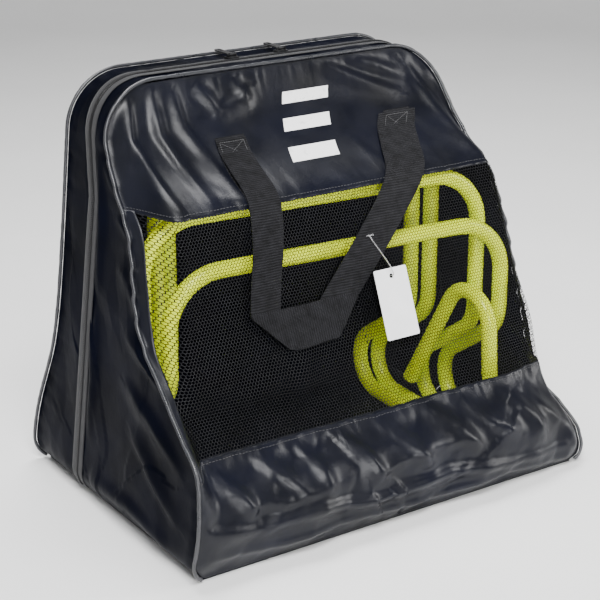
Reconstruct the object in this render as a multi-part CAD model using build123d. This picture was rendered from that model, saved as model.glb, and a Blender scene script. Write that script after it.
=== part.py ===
"""Set of five bent-tube training hurdles in a black zip carry bag with a mesh front window.

Frame: +X along the bag's length, +Y towards its back, +Z up. Origin under the middle of the bag.
"""

import math
import os

from build123d import *

# --- bag ---------------------------------------------------------------------
BAG_HEIGHT = 474.0
HALF_WIDTH_FLOOR = 276.0
SIDE_TAPER = 0.115
TOP_CORNER_R = 68.0
FLOOR_CORNER_R = 28.0
CLOTH = 2.0
ROLL_LEFT = 26.0
ROLL_RIGHT = 14.0
TOE_X = 185.0
BEYOND = 8.0

# Cross-sections (y, z) of the front, from the top seam down to the toe, then round the toe's nose.
FRONT_LEFT = [(78, 500), (77, 450), (64, 400), (50, 372), (38, 350), (24, 325), (12, 290), (2, 252),
              (-20, 218), (-70, 192), (-130, 168), (-170, 152), (-188, 134)]
NOSE_LEFT = [(-188, 134), (-190, 74), (-183, 22), (-172, 0)]
FRONT_MIDDLE = [(78, 500), (66, 450), (32, 405), (-14, 373), (-49, 353), (-64, 325), (-74, 290), (-85, 245),
                (-100, 208), (-116, 175), (-123, 145), (-136, 118), (-165, 92)]
NOSE_MIDDLE = [(-165, 92), (-187, 60), (-185, 18), (-174, 0)]
FRONT_ROLL = FRONT_MIDDLE[:9] + [(-115, 175), (-120, 145), (-127, 112), (-148, 78)]
NOSE_ROLL = [(-148, 78), (-181, 48), (-185, 18), (-174, 0)]
FRONT_RIGHT = [(78, 500), (70, 450), (52, 400), (36, 365), (24, 345), (5, 325), (-10, 290), (-26, 250),
               (-36, 205), (-40, 160), (-42, 110), (-56, 74), (-92, 52)]
NOSE_RIGHT = [(-92, 52), (-145, 42), (-166, 20), (-160, 0)]
BACK = [(184, 0), (188, 46), (176, 95), (156, 150), (148, 200), (146, 260), (149, 400), (151, 500)]

# The zip runs in this slanted surface: (y, z) from under the floor to over the top.
ZIP_LINE = [(80, -20), (80, 350), (100, 430), (110, 466), (110, 520)]
TOP_SEAM_Z = 351.0
LOW_SEAM_Z = 117.0
GUSSET_TOP_X = 150.0
BOTTOM_X = 255.0

# --- zip ---------------------------------------------------------------------
TAPE_WIDTH = 12.0
TAPE_THICK = 0.8
COIL_WIDTH = 2.6
COIL_HEIGHT = 1.8
ZIP_FOOT_Z = 8.0
SLIDER_X = 34.0
SLIDER_SIZE = (15.0, 9.0)
SLIDER_HEIGHT = 3.2
PULL_LENGTH = 34.0
PULL_WIDTH = 8.0
PULL_THICK = 1.6
PIN_LIFT = 2.3

# --- piping ------------------------------------------------------------------
PIPE_R = 2.0
PIPE_OUT = 2.6
PIPE_STEPS = 120
PIPE_FOOT_Z = 6.0
PIPE_TURN = 3.0

# --- handles -----------------------------------------------------------------
WEBBING = 38.0
WEB_THICK = 2.4
PATCH_THICK = 1.6
HANDLE_GAP = 5.0
HANDLE_TOP_Z = 405.0
HANDLE_LOW_Z = 203.0
HANDLE_END = 1.6
FRONT_STRAPS = [(-89.0, -121.0), (142.0, -24.0)]
BACK_STRAPS = [(-115.0, -64.0), (115.0, 64.0)]
PATCH_LOW_Z = 358.0
FOLD = 38.0
LAYER_STEPS = 120

# --- swing tag ---------------------------------------------------------------
TAG_WIDTH = 45.0
TAG_HEIGHT = 80.0
TAG_THICK = 0.9
TAG_TOP = (43.0, -92.0, 264.0)
TAG_LEAN = 22.0
TAG_HOLE_DROP = 9.0
TAG_HOLE_R = 2.6
TAG_PIVOT = (24.0, -80.5, 303.0)
LOOP_R = 0.7
BAR_LENGTH = 9.0

# --- hurdles -----------------------------------------------------------------
TUBE_R = 9.5
TUBE_WALL = 2.0
TOP_BEND_R = 65.0
LEG_BEND_R = 45.0
HEEL_R = 40.0
JOG_ANGLE = 34.0
JOG = 88.0
FOOT_RUN = 170.0
CAP_FLANGE = 2.5
CAP_STEM = 12.0

# name: half width, height, x, y of the legs, turn about Z in degrees
STANDING = {
    "hurdle_1": (220.0, 338.5, -8.5, -26.5, -4.5),
    "hurdle_2": (221.0, 280.0, 11.5, -48.0, -4.5),
    "hurdle_3": (187.0, 380.0, 6.0, 33.0, -3.0),
    "hurdle_4": (167.0, 358.0, 6.0, 44.0, -3.0),
}
LOW_HURDLE = (187.0, 190.0, 50.0, 52.0, 150.0)
LOW_BAR_END = -115.0
LOW_HEEL = (3.0, -58.0, 156.0)
LOW_TURN = 120.0

# --- emblem ------------------------------------------------------------------
EMBLEM_X = 20.0
EMBLEM_Z = 414.0
EMBLEM_LEAN = 0.45
PRINT_THICK = 0.5


def yz(y, z, x=0.0):
    return Vector(x, y, z)


def half_width(z):
    return HALF_WIDTH_FLOOR - SIDE_TAPER * z


def outline(grow=0.0):
    """Front view of the bag: a tapered box with round corners."""
    low, top = HALF_WIDTH_FLOOR, half_width(BAG_HEIGHT)
    face = make_face(Polyline((-low, 0), (-top, BAG_HEIGHT), (top, BAG_HEIGHT), (low, 0), close=True)).face()
    face = face.fillet_2d(TOP_CORNER_R, [v for v in face.vertices() if v.Y > 1])
    face = face.fillet_2d(FLOOR_CORNER_R, [v for v in face.vertices() if v.Y < 1])
    if grow:
        face = offset(face, amount=grow).face()
    return face


def prism(grow=0.0, y0=-260.0, y1=260.0):
    """The front view as a solid from y0 to y1."""
    return extrude(Plane.XZ.offset(-y1) * outline(grow), amount=y1 - y0)


def block(x0, x1, y0, y1, z0, z1):
    size = Box(x1 - x0, y1 - y0, z1 - z0)
    return Pos((x0 + x1) / 2, (y0 + y1) / 2, (z0 + z1) / 2) * size


def inset_ring(points, inset):
    """Moves a closed run of (y, z) points to its inner side."""
    moved = []
    count = len(points)
    for i, (y, z) in enumerate(points):
        ay, az = points[i - 1]
        by, bz = points[(i + 1) % count]
        first = math.atan2(z - az, y - ay)
        second = math.atan2(bz - z, by - y)
        turn = math.remainder(second - first, 2 * math.pi) / 2
        reach = inset / math.cos(turn)
        aim = first + turn + math.pi / 2
        moved.append((y + reach * math.cos(aim), z + reach * math.sin(aim)))
    return moved


def section(front, nose, inset, x, lean=0.0):
    """One closed cross-section of the bag, in the plane where x changes by lean for each mm of height."""
    ring = inset_ring(front + nose[1:] + BACK, inset)
    spots = [Vector(x + lean * z, y, z) for y, z in ring]
    a, b = len(front), len(front) + len(nose) - 1
    edges = [
        Spline(*spots[:a]),
        Spline(*spots[a - 1 : b]),
        Line(spots[b - 1], spots[b]),
        Spline(*spots[b:]),
        Line(spots[-1], spots[0]),
    ]
    return make_face(Wire(edges)).face()


def body_solid(inset=0.0):
    """The bag's depth profile, drawn through its cross-sections from left to right."""
    side = HALF_WIDTH_FLOOR + BEYOND
    rows = [
        section(FRONT_LEFT, NOSE_LEFT, inset, -side, SIDE_TAPER),
        section(FRONT_MIDDLE, NOSE_MIDDLE, inset, ROLL_LEFT - HALF_WIDTH_FLOOR, SIDE_TAPER),
        section(FRONT_MIDDLE, NOSE_MIDDLE, inset, TOE_X),
        section(FRONT_ROLL, NOSE_ROLL, inset, HALF_WIDTH_FLOOR - ROLL_RIGHT, -SIDE_TAPER),
        section(FRONT_RIGHT, NOSE_RIGHT, inset, side, -SIDE_TAPER),
    ]
    return loft(rows, ruled=True)


def zip_zone(y0, y1):
    """The region between the zip surface moved by y0 and by y1."""
    run = [(y + y0, z) for y, z in ZIP_LINE] + [(y + y1, z) for y, z in reversed(ZIP_LINE)]
    return extrude(Plane.YZ.offset(-300) * make_face(Polyline(*run, close=True)), amount=600)


def gusset_parts(ring, zone, name):
    """The ring of cloth round the bag, cut into its left, top and right strips."""
    strip = ring & zone
    floor = block(-BOTTOM_X, BOTTOM_X, -300, 300, -10, 60)
    return {
        name + "_left": strip & block(-400, -GUSSET_TOP_X, -300, 300, -10, 600) - floor,
        name + "_top": strip & block(-GUSSET_TOP_X, GUSSET_TOP_X, -300, 300, 300, 600),
        name + "_right": strip & block(GUSSET_TOP_X, 400, -300, 300, -10, 600) - floor,
    }


def shell_parts(solid):
    """Every cloth panel of the bag."""
    inner_prism = prism(-CLOTH)
    skin = (solid & inner_prism) - body_solid(CLOTH)
    front = skin & block(-400, 400, -300, 112, 0, 600) & zip_zone(-600, 0)
    ring = (solid & prism()) - inner_prism
    floor = block(-BOTTOM_X, BOTTOM_X, -300, 300, -10, 60)
    parts = {
        "front_upper_panel": front & block(-400, 400, -300, 300, TOP_SEAM_Z, 600),
        "front_mesh_window": front & block(-400, 400, -300, 300, LOW_SEAM_Z, TOP_SEAM_Z),
        "front_lower_panel": front & block(-400, 400, -300, 300, 0, LOW_SEAM_Z),
        "back_panel": skin & block(-400, 400, 112, 300, 0, 600),
        "bottom_panel": ring & floor,
    }
    parts |= gusset_parts(ring, zip_zone(-600, 0), "front_gusset")
    parts |= gusset_parts(ring, zip_zone(0, 600), "back_gusset")
    return parts


def zip_parts():
    """Two tapes lying on the gusset and the two halves of the coil on their facing edges."""
    tape_ring = prism(TAPE_THICK, 0, 200) - prism(0, -10, 210)
    coil_ring = prism(TAPE_THICK + COIL_HEIGHT, 0, 200) - prism(TAPE_THICK, -10, 210)
    above = block(-400, 400, -300, 300, ZIP_FOOT_Z, 600)
    teeth = block(-400, 400, -300, 300, ZIP_FOOT_Z + 6, 600)
    stops = block(-400, 400, -300, 300, ZIP_FOOT_Z, ZIP_FOOT_Z + 5.8)
    return {
        "zipper_tape_front": tape_ring & above & zip_zone(-TAPE_WIDTH, 0),
        "zipper_tape_back": tape_ring & above & zip_zone(0, TAPE_WIDTH),
        "zipper_coil_front": coil_ring & teeth & zip_zone(-0.1 - COIL_WIDTH, -0.1),
        "zipper_coil_back": coil_ring & teeth & zip_zone(0.1, 0.1 + COIL_WIDTH),
        "zipper_end_stops": coil_ring & stops & zip_zone(0.1, 0.1 + 2 * COIL_WIDTH),
    }


def slider(x):
    """A slider bridging the back half of the coil, with a pin for its pull."""
    length, width = SLIDER_SIZE
    y0 = ZIP_LINE[3][0] + 0.4
    base = BAG_HEIGHT + TAPE_THICK + 0.3
    top = base + SLIDER_HEIGHT
    plate_low = BAG_HEIGHT + TAPE_THICK + COIL_HEIGHT + 0.3
    plate = block(x - length / 2, x + length / 2, y0, y0 + width, plate_low, top)
    leg = block(x - length / 2, x + length / 2, y0 + COIL_WIDTH + 0.4, y0 + width, base, plate_low)
    pin_y, pin_z = y0 + width / 2, top + PIN_LIFT
    posts = [block(x + s * 5.4 - 0.7, x + s * 5.4 + 0.7, pin_y - 1.4, pin_y + 1.4, top, pin_z + 1.2) for s in (-1, 1)]
    pin = Pos(x, pin_y, pin_z) * Rot(Y=90) * Cylinder(0.9, 10.8)
    return plate + leg + posts[0] + posts[1] + pin


def pull(x):
    """The pull tab, lying back over the top gusset."""
    y0 = ZIP_LINE[3][0] + 0.4
    pin_y = y0 + SLIDER_SIZE[1] / 2
    pin_z = BAG_HEIGHT + TAPE_THICK + 0.3 + SLIDER_HEIGHT + PIN_LIFT
    eye = Pos(x, pin_y, pin_z) * Rot(Y=90) * (Cylinder(2.0, 7.0) - Cylinder(1.2, 8.0))
    tab = block(x - PULL_WIDTH / 2, x + PULL_WIDTH / 2, pin_y + 1.7, pin_y + PULL_LENGTH, pin_z - 0.8, pin_z + 0.8)
    slot = block(x - 1.5, x + 1.5, pin_y + 22, pin_y + 30, pin_z - 2, pin_z + 2)
    tab = fillet(tab.edges().filter_by(Axis.Z).group_by(Axis.Y)[-1], 3.0) - slot
    return eye + tab


def thinned(path):
    """Leaves out the points where a path hardly turns."""
    kept = [path[0]]
    for here, after in zip(path[1:-1], path[2:]):
        if (here - kept[-1]).get_angle(after - here) > PIPE_TURN:
            kept.append(here)
    return kept + [path[-1]]


def edge_cord(solid, back):
    """Piping along the edge where the front or back panel meets the gusset."""
    rim = outline(PIPE_OUT).outer_wire()
    spots = [rim @ (i / PIPE_STEPS) for i in range(PIPE_STEPS)]
    first = next(i for i, p in enumerate(spots) if spots[i - 1].Y <= PIPE_FOOT_Z < p.Y)
    path = []
    for spot in spots[first:] + spots[:first]:
        if spot.Y <= PIPE_FOOT_Z:
            continue
        z = min(spot.Y, BAG_HEIGHT - 1)
        limit = half_width(z) - 1
        ray = Axis((max(min(spot.X, limit), -limit), -400, z), (0, 1, 0))
        hits = [point.Y for point, _ in solid.find_intersection_points(ray)]
        y = max(hits) + PIPE_OUT if back else min(hits) - PIPE_OUT
        path.append(Vector(spot.X, y, spot.Y))
    line = Polyline(*thinned(path))
    disc = Plane(origin=line @ 0, z_dir=line % 0) * Circle(PIPE_R)
    return sweep(disc, path=line, transition=Transition.RIGHT)


def layer(points, low, high, z0, z1, x0, x1):
    """A thin layer lying low to high outside the flat middle of a panel, between two heights."""
    curve = Spline(*[yz(y, z) for y, z in points])
    inner, outer = [], []
    for i in range(LAYER_STEPS + 1):
        t = i / LAYER_STEPS
        spot, along = curve @ t, curve % t
        if not z0 <= spot.Z <= z1:
            continue
        out = Vector(0, along.Z, -along.Y)
        inner.append(spot + out * low)
        outer.append(spot + out * high)
    edges = [Spline(*inner), Line(inner[-1], outer[-1]), Spline(*outer), Line(outer[0], inner[0])]
    return Pos(x0, 0, 0) * extrude(make_face(Wire(edges)), amount=x1 - x0, dir=(1, 0, 0))


def front_shape(*points):
    """A polygon in the front view, as a solid through the whole bag."""
    flat = Plane.XZ.offset(-260) * make_face(Polyline(*points, close=True))
    return extrude(flat, amount=520)


def strap_centre(strap, z):
    """x of a strap's centre line at a height."""
    top, low = strap
    return top + (low - top) * (HANDLE_TOP_Z - z) / (HANDLE_TOP_Z - HANDLE_LOW_Z - FOLD)


def handle_outline(straps):
    """Two straps running into a bottom run with folded corners."""
    wide = WEBBING / 2
    top_z, low_z = HANDLE_TOP_Z - HANDLE_END, HANDLE_LOW_Z
    grips = None
    for strap in straps:
        a, b = strap_centre(strap, top_z), strap_centre(strap, low_z + FOLD)
        reach = wide * math.hypot(a - b, top_z - low_z - FOLD) / (top_z - low_z - FOLD)
        limb = front_shape((a - reach, top_z), (a + reach, top_z), (b + reach, low_z + FOLD), (b - reach, low_z + FOLD))
        grips = limb if grips is None else grips + limb
    left = strap_centre(straps[0], low_z + FOLD) - wide * 1.02
    right = strap_centre(straps[1], low_z + FOLD) + wide * 1.3
    over = low_z + FOLD + 6
    run = front_shape(
        (left, over), (right, over), (right, low_z + FOLD), (right - FOLD, low_z), (left + FOLD, low_z), (left, low_z + FOLD)
    )
    return grips + run


def handle(points, straps):
    low = HANDLE_GAP - WEB_THICK / 2
    web = layer(points, low, low + WEB_THICK, HANDLE_LOW_Z - 12, HANDLE_TOP_Z + 8, -190, 200)
    return web & handle_outline(straps)


def patches(points, straps):
    """The sewn part of the webbing behind each strap."""
    web = layer(points, 0.2, 0.2 + PATCH_THICK, PATCH_LOW_Z - 12, HANDLE_TOP_Z + 12, -190, 200)
    wide = WEBBING / 2
    rows = []
    for strap in straps:
        a, b = strap_centre(strap, HANDLE_TOP_Z), strap_centre(strap, PATCH_LOW_Z)
        top, low = HANDLE_TOP_Z + 4, PATCH_LOW_Z
        rows.append(web & front_shape((a - wide, top), (a + wide, top), (b + wide, low), (b - wide, low)))
    return rows


def swing_tag():
    """A card with a hole, leaning on the mesh."""
    card = Rectangle(TAG_WIDTH, TAG_HEIGHT)
    card = fillet(card.vertices(), 2.0)
    card -= Pos(0, TAG_HEIGHT / 2 - TAG_HOLE_DROP) * Circle(TAG_HOLE_R)
    flat = Pos(0, -TAG_HEIGHT / 2) * extrude(card, amount=TAG_THICK)
    return Pos(*TAG_TOP) * Rot(X=90 - TAG_LEAN) * flat


def tag_fastener():
    """A thin plastic loop from its bar on the strap to the tag's hole."""
    x, y, z = TAG_TOP
    lean = math.radians(TAG_LEAN)
    hole = Vector(x, y - TAG_HOLE_DROP * math.sin(lean), z - TAG_HOLE_DROP * math.cos(lean))
    out = Vector(0, -math.cos(lean), math.sin(lean))
    pivot = Vector(*TAG_PIVOT)
    line = Spline(pivot, pivot * 0.45 + hole * 0.55 + out * 6, hole + out * 3, hole - out * 0.6, hole - out * 2.4)
    cord = sweep(Plane(origin=line @ 0, z_dir=line % 0) * Circle(LOOP_R), path=line)
    bar = Pos(*TAG_PIVOT) * Rot(Y=90) * Cylinder(LOOP_R * 1.3, BAR_LENGTH)
    return cord + bar


def hurdle_path(half, height, jog, top_r, run, bar_end=None):
    """Centre line from foot to foot over the bar, or with bar_end from the right foot to that end of the bar."""
    lean = math.radians(JOG_ANGLE)
    s, c = math.sin(lean), math.cos(lean)
    heel_z = TUBE_R + HEEL_R
    p1 = (HEEL_R * s - jog * c, heel_z + HEEL_R * c + jog * s)
    bend = (p1[0] + LEG_BEND_R * s, p1[1] + LEG_BEND_R * c)
    leg_y = bend[0] - LEG_BEND_R
    mid = lean / 2 + math.pi / 4

    def spot(y, z):
        return (y - leg_y, z)

    foot = spot(-run, TUBE_R)
    heel_low = spot(0, TUBE_R)
    heel_mid = spot(HEEL_R * math.sin(mid + lean / 2), heel_z + HEEL_R * math.cos(mid + lean / 2))
    heel_top = spot(HEEL_R * s, heel_z + HEEL_R * c)
    knee = spot(*p1)
    half_turn = (math.pi / 2 - lean) / 2
    aim = math.pi + half_turn
    knee_mid = spot(bend[0] + LEG_BEND_R * math.cos(aim), bend[1] + LEG_BEND_R * math.sin(aim))
    leg = spot(leg_y, bend[1])
    edges = []
    sides = (-1, 1) if bar_end is None else (1,)
    for side in sides:
        at = lambda p: Vector(side * half, *p)
        edges += [
            Line(at(foot), at(heel_low)),
            ThreePointArc(at(heel_low), at(heel_mid), at(heel_top)),
            Line(at(heel_top), at(knee)),
            ThreePointArc(at(knee), at(knee_mid), at(leg)),
            Line(at(leg), at((0, height - top_r))),
        ]
        turn = top_r * (1 - math.sqrt(0.5))
        edges.append(
            ThreePointArc(
                at((0, height - top_r)),
                Vector(side * (half - turn), 0, height - turn),
                Vector(side * (half - top_r), 0, height),
            )
        )
    left = top_r - half if bar_end is None else bar_end
    edges.append(Line(Vector(left, 0, height), Vector(half - top_r, 0, height)))
    return Wire(edges), Vector(sides[0] * half, *foot), spot(0, heel_z)


def hurdle(half, height, jog=JOG, top_r=TOP_BEND_R, run=FOOT_RUN, bar_end=None):
    """One bent tube, its two end caps and the centre of its heels."""
    path, foot, heel = hurdle_path(half, height, jog, top_r, run, bar_end)
    start = Plane(origin=foot, z_dir=(0, 1, 0))
    ring = start * (Circle(TUBE_R) - Circle(TUBE_R - TUBE_WALL))
    tube = sweep(ring, path=path)
    flange = Pos(0, -CAP_FLANGE / 2, 0) * Rot(X=90) * Cylinder(TUBE_R, CAP_FLANGE)
    stem = Pos(0, CAP_STEM / 2, 0) * Rot(X=90) * Cylinder(TUBE_R - TUBE_WALL - 0.1, CAP_STEM)
    cap = flange + stem
    caps = [Pos(half, foot.Y, foot.Z) * cap]
    if bar_end is None:
        caps.append(Pos(-half, foot.Y, foot.Z) * cap)
    else:
        caps.append(Pos(bar_end, 0, height) * Rot(Z=-90) * cap)
    return tube, caps, heel


def hurdle_parts():
    parts = {}
    for name, (half, height, x, y, turn) in STANDING.items():
        tube, caps, _ = hurdle(half, height)
        place = Pos(x, y, CLOTH + 0.3) * Rot(Z=turn)
        parts[name + "_tube"] = place * tube
        parts[name + "_caps"] = Compound([place * cap for cap in caps])
    half, height, jog, top_r, run = LOW_HURDLE
    tube, caps, heel = hurdle(half, height, jog, top_r, run, LOW_BAR_END)
    place = Pos(*LOW_HEEL) * Rot(X=LOW_TURN) * Pos(0, -heel[0], -heel[1])
    parts["hurdle_5_tube"] = place * tube
    parts["hurdle_5_caps"] = Compound([place * cap for cap in caps])
    return parts


def emblem():
    """Three plain printed bars, standing where the bag has its mark."""
    bars = [Pos(0, up) * Rectangle(64, 12) for up in (22, -4, -30)]
    flat = bars[0] + bars[1] + bars[2]
    lean = Matrix([[1, EMBLEM_LEAN, 0, 0], [0, 1, 0, 0], [0, 0, 1, 0], [0, 0, 0, 1]])
    flat = flat.transform_geometry(lean)
    mark = extrude(Plane.XZ.offset(-260) * Pos(EMBLEM_X, EMBLEM_Z) * flat, amount=520)
    film = layer(FRONT_MIDDLE, 0.1, 0.1 + PRINT_THICK, EMBLEM_Z - 90, EMBLEM_Z + 70, -60, 100)
    return [piece for piece in (film & mark).solids()]


def build():
    solid = body_solid()
    parts = shell_parts(solid)
    parts |= zip_parts()
    parts["front_piping"] = edge_cord(solid, False)
    parts["back_piping"] = edge_cord(solid, True)
    back = [(-y, z) for y, z in reversed(BACK)]
    parts["front_handle"] = handle(FRONT_MIDDLE, FRONT_STRAPS)
    parts["front_handle_patches"] = Compound(patches(FRONT_MIDDLE, FRONT_STRAPS))
    parts["back_handle"] = Rot(Z=180) * handle(back, BACK_STRAPS)
    parts["back_handle_patches"] = Compound([Rot(Z=180) * p for p in patches(back, BACK_STRAPS)])
    for side, x in (("left", -SLIDER_X), ("right", SLIDER_X)):
        parts["zipper_slider_" + side] = slider(x)
        parts["zipper_pull_" + side] = pull(x)
    parts["swing_tag"] = swing_tag()
    parts["tag_fastener"] = tag_fastener()
    parts["emblem_print"] = Compound(emblem())
    parts |= hurdle_parts()
    return parts


if __name__ == "__main__":
    os.makedirs("parts", exist_ok=True)
    for name, part in build().items():
        export_step(part, f"parts/{name}.step")
        print(name, len(part.solids()), round(part.volume))
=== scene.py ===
import bmesh
import bpy
import math
import numpy as np
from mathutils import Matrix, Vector
from mathutils.bvhtree import BVHTree


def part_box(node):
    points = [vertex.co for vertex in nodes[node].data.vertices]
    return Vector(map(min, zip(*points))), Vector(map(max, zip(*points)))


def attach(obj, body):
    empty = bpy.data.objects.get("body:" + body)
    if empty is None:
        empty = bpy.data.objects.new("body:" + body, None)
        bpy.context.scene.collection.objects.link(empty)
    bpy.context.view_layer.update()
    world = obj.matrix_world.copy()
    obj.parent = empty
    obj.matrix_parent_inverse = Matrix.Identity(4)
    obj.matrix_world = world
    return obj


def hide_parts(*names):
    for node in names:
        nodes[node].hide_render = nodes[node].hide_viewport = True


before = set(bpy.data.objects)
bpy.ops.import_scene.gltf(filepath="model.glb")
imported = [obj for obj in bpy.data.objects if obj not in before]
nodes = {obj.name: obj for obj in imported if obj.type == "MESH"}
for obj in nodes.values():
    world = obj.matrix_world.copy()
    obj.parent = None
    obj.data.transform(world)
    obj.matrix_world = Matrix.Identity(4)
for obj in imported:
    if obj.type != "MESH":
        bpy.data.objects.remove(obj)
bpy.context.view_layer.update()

MM = 0.001
FRONT = ["front_upper_panel", "front_mesh_window", "front_lower_panel"]
BACK_GUSSETS = ["back_gusset_left", "back_gusset_top", "back_gusset_right"]
TOP_SEAM_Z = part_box("front_mesh_window")[1][2]
LOW_SEAM_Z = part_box("front_mesh_window")[0][2]
TOP_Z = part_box("back_gusset_top")[1][2]
ZIP = np.array([(80, -20), (80, 350), (100, 430), (110, 466), (110, 520)]) * MM


# --- noise -------------------------------------------------------------------
def lattice(seed):
    return np.random.default_rng(seed).random((257, 257)) * 2 - 1


def noise(u, v, seed):
    table = lattice(seed)
    u, v = np.asarray(u, float), np.asarray(v, float)
    i, j = np.floor(u).astype(int), np.floor(v).astype(int)
    a, b = u - i, v - j
    a, b = a * a * a * (a * (a * 6 - 15) + 10), b * b * b * (b * (b * 6 - 15) + 10)
    i, j = i % 256, j % 256
    low = table[i, j] * (1 - a) + table[i + 1, j] * a
    high = table[i, j + 1] * (1 - a) + table[i + 1, j + 1] * a
    return low * (1 - b) + high * b


def fbm(u, v, seed, octaves=4):
    total, size = 0.0, 1.0
    for k in range(octaves):
        total = total + noise(u * 2**k, v * 2**k, seed + k) * size
        size *= 0.5
    return total


def ridged(u, v, seed, octaves=3):
    """Sharp creases where the noise crosses zero, as in crumpled nylon."""
    total, size = 0.0, 1.0
    for k in range(octaves):
        n = np.abs(noise(u * 2.1**k, v * 2.1**k, seed + k))
        total = total + (1 - np.minimum(n * 2.2, 1)) ** 1.6 * size
        size *= 0.5
    return total


def facets(u, v, seed):
    """Flat patches that meet in straight creases, as in stiff folded nylon."""
    u = u + noise(u * 0.7, v * 0.7, seed + 50) * 0.45
    v = v + noise(u * 0.7 + 9, v * 0.7 + 5, seed + 51) * 0.45
    table = lattice(seed)
    i, j = np.floor(u).astype(int), np.floor(v).astype(int)
    a, b = u - i, v - j
    i, j = i % 256, j % 256
    near, far = table[i, j], table[i + 1, j + 1]
    right, up = table[i + 1, j], table[i, j + 1]
    one = near + (right - near) * a + (far - right) * b
    two = near + (far - up) * a + (up - near) * b
    return np.where(a > b, one, two)


def turned(u, v, degrees):
    c, s = math.cos(math.radians(degrees)), math.sin(math.radians(degrees))
    return u * c + v * s, -u * s + v * c


def smooth(x, low, high):
    t = np.clip((np.asarray(x, float) - low) / (high - low), 0, 1)
    return t * t * (3 - 2 * t)


def fold(x, z, points, width, height, lean=0.0):
    """A rounded ridge along a run of points, fading at both ends."""
    best = np.full(np.shape(x), 1e9)
    along = np.zeros(np.shape(x))
    side = np.zeros(np.shape(x))
    pts = np.array(points, float) * MM
    lengths = np.hypot(*np.diff(pts, axis=0).T)
    total, gone = lengths.sum(), 0.0
    for (ax, az), (bx, bz), size in zip(pts[:-1], pts[1:], lengths):
        dx, dz = (bx - ax) / size, (bz - az) / size
        t = np.clip((x - ax) * dx + (z - az) * dz, 0, size)
        off = (x - ax) * dz - (z - az) * dx
        d = np.hypot(x - ax - dx * t, z - az - dz * t)
        near = d < best
        best = np.where(near, d, best)
        along = np.where(near, (gone + t) / total, along)
        side = np.where(near, off, side)
        gone += size
    w = width * MM * np.where(side > 0, 1 + lean, 1 - lean)
    fade = np.sin(np.pi * np.clip(along * 0.92 + 0.04, 0, 1)) ** 0.6
    return height * MM * np.exp(-((best / w) ** 2)) * fade


# --- the bag's surfaces, read from the CAD -----------------------------------
def tree_of(names):
    points, faces = [], []
    for name in names:
        mesh = nodes[name].data
        start = len(points)
        points += [v.co.copy() for v in mesh.vertices]
        faces += [tuple(start + i for i in p.vertices) for p in mesh.polygons]
    return BVHTree.FromPolygons(points, faces)


def height_field(names, start_y, toward, xs, zs):
    tree = tree_of(names)
    field = np.full((len(xs), len(zs)), np.nan)
    for i, x in enumerate(xs):
        for j, z in enumerate(zs):
            hit = tree.ray_cast(Vector((x, start_y, z)), Vector((0, toward, 0)))[0]
            if hit is not None:
                field[i, j] = hit.y
    for j in range(len(zs)):
        row = field[:, j]
        good = np.flatnonzero(~np.isnan(row))
        if len(good):
            field[: good[0], j] = row[good[0]]
            field[good[-1] :, j] = row[good[-1]]
    for j in range(1, len(zs)):
        if np.isnan(field[0, j]):
            field[:, j] = field[:, j - 1]
    for j in range(len(zs) - 2, -1, -1):
        if np.isnan(field[0, j]):
            field[:, j] = field[:, j + 1]
    return field


STEP = 3 * MM
XS = np.arange(-0.285, 0.2851, STEP)
ZS = np.arange(0.0, 0.4781, STEP)


def blurred(field, times):
    for _ in range(times):
        wide = np.pad(field, 1, mode="edge")
        field = (wide[:-2, 1:-1] + wide[2:, 1:-1] + wide[1:-1, :-2] + wide[1:-1, 2:] + 2 * field) / 6
    return field


FRONT_FIELD = blurred(height_field(FRONT, -0.4, 1, XS, ZS), 3)
BACK_FIELD = blurred(height_field(["back_panel"], 0.4, -1, XS, ZS), 2)


def sample(field, x, z):
    u = np.clip((np.asarray(x, float) - XS[0]) / STEP, 0, len(XS) - 1.001)
    v = np.clip((np.asarray(z, float) - ZS[0]) / STEP, 0, len(ZS) - 1.001)
    i, j = u.astype(int), v.astype(int)
    a, b = u - i, v - j
    low = field[i, j] * (1 - a) + field[i + 1, j] * a
    high = field[i, j + 1] * (1 - a) + field[i + 1, j + 1] * a
    return low * (1 - b) + high * b


def outline_points():
    """The bag's front-view outline, from the left floor corner over the top to the right one, even steps."""
    tree = tree_of(BACK_GUSSETS)
    centre = Vector((0, 0.12, 0.2))
    run = []
    for angle in np.radians(np.linspace(222, -42, 3000)):
        ray = Vector((math.cos(angle), 0, math.sin(angle)))
        hit = tree.ray_cast(centre + ray * 0.6, -ray)[0]
        if hit is not None and (hit - centre).dot(ray) > 0:
            run.append((hit.x, hit.z))
    run = np.array(run)
    gone = np.r_[0, np.cumsum(np.hypot(*np.diff(run, axis=0).T))]
    at = np.linspace(0, gone[-1], 700)
    return np.c_[np.interp(at, gone, run[:, 0]), np.interp(at, gone, run[:, 1])], at


OUTLINE, OUT_S = outline_points()
top_index = len(OUTLINE) // 2
LEFT_SIDE = OUTLINE[:top_index]
RIGHT_SIDE = OUTLINE[top_index:][::-1]


def edge_x(z, side):
    run = LEFT_SIDE if side < 0 else RIGHT_SIDE
    order = np.argsort(run[:, 1])
    return np.interp(z, run[order, 1], run[order, 0])


def zip_y(z):
    return np.interp(z, ZIP[:, 1], ZIP[:, 0])


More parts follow.
